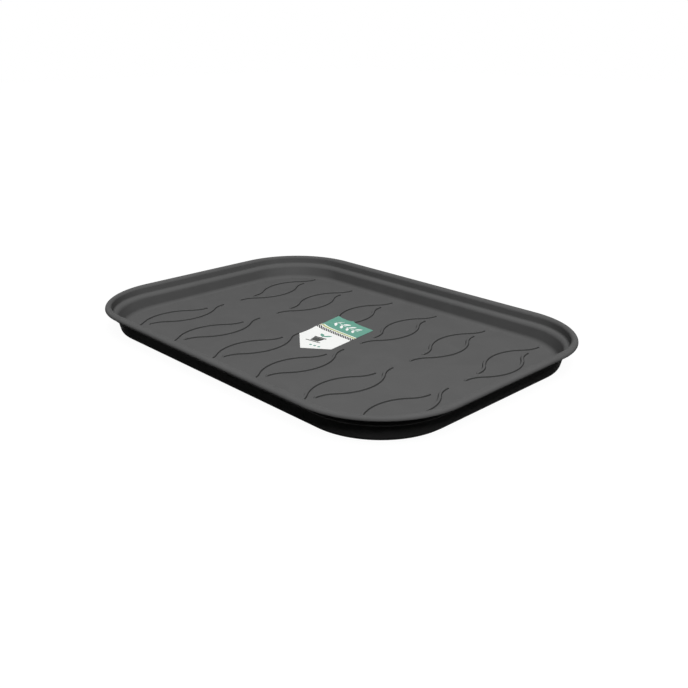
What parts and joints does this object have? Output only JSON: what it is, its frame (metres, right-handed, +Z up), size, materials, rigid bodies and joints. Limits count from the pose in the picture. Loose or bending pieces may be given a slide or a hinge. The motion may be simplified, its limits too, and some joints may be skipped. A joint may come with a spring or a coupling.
{
  "type": "plant saucer",
  "caption": "Rectangular plant saucer with rounded corners, turned-down rim, stepped wall and wavy drainage ribs on its floor, with a paper label laid on the ribs.",
  "frame": {"origin": "middle of the plane that the foot stands on, below the middle of the tray", "axes": "+X along the tray's long side, +Y across it, +Z up"},
  "size_m": [0.6, 0.424, 0.037],
  "materials": {
    "tray_plastic": "anthracite polypropylene with a fine moulded grain",
    "label_paper": "coated and printed, semi-matt"
  },
  "bodies": {
    "root": {"saucer_tray": "tray_plastic", "paper_label": "label_paper"}
  },
  "joints": []
}
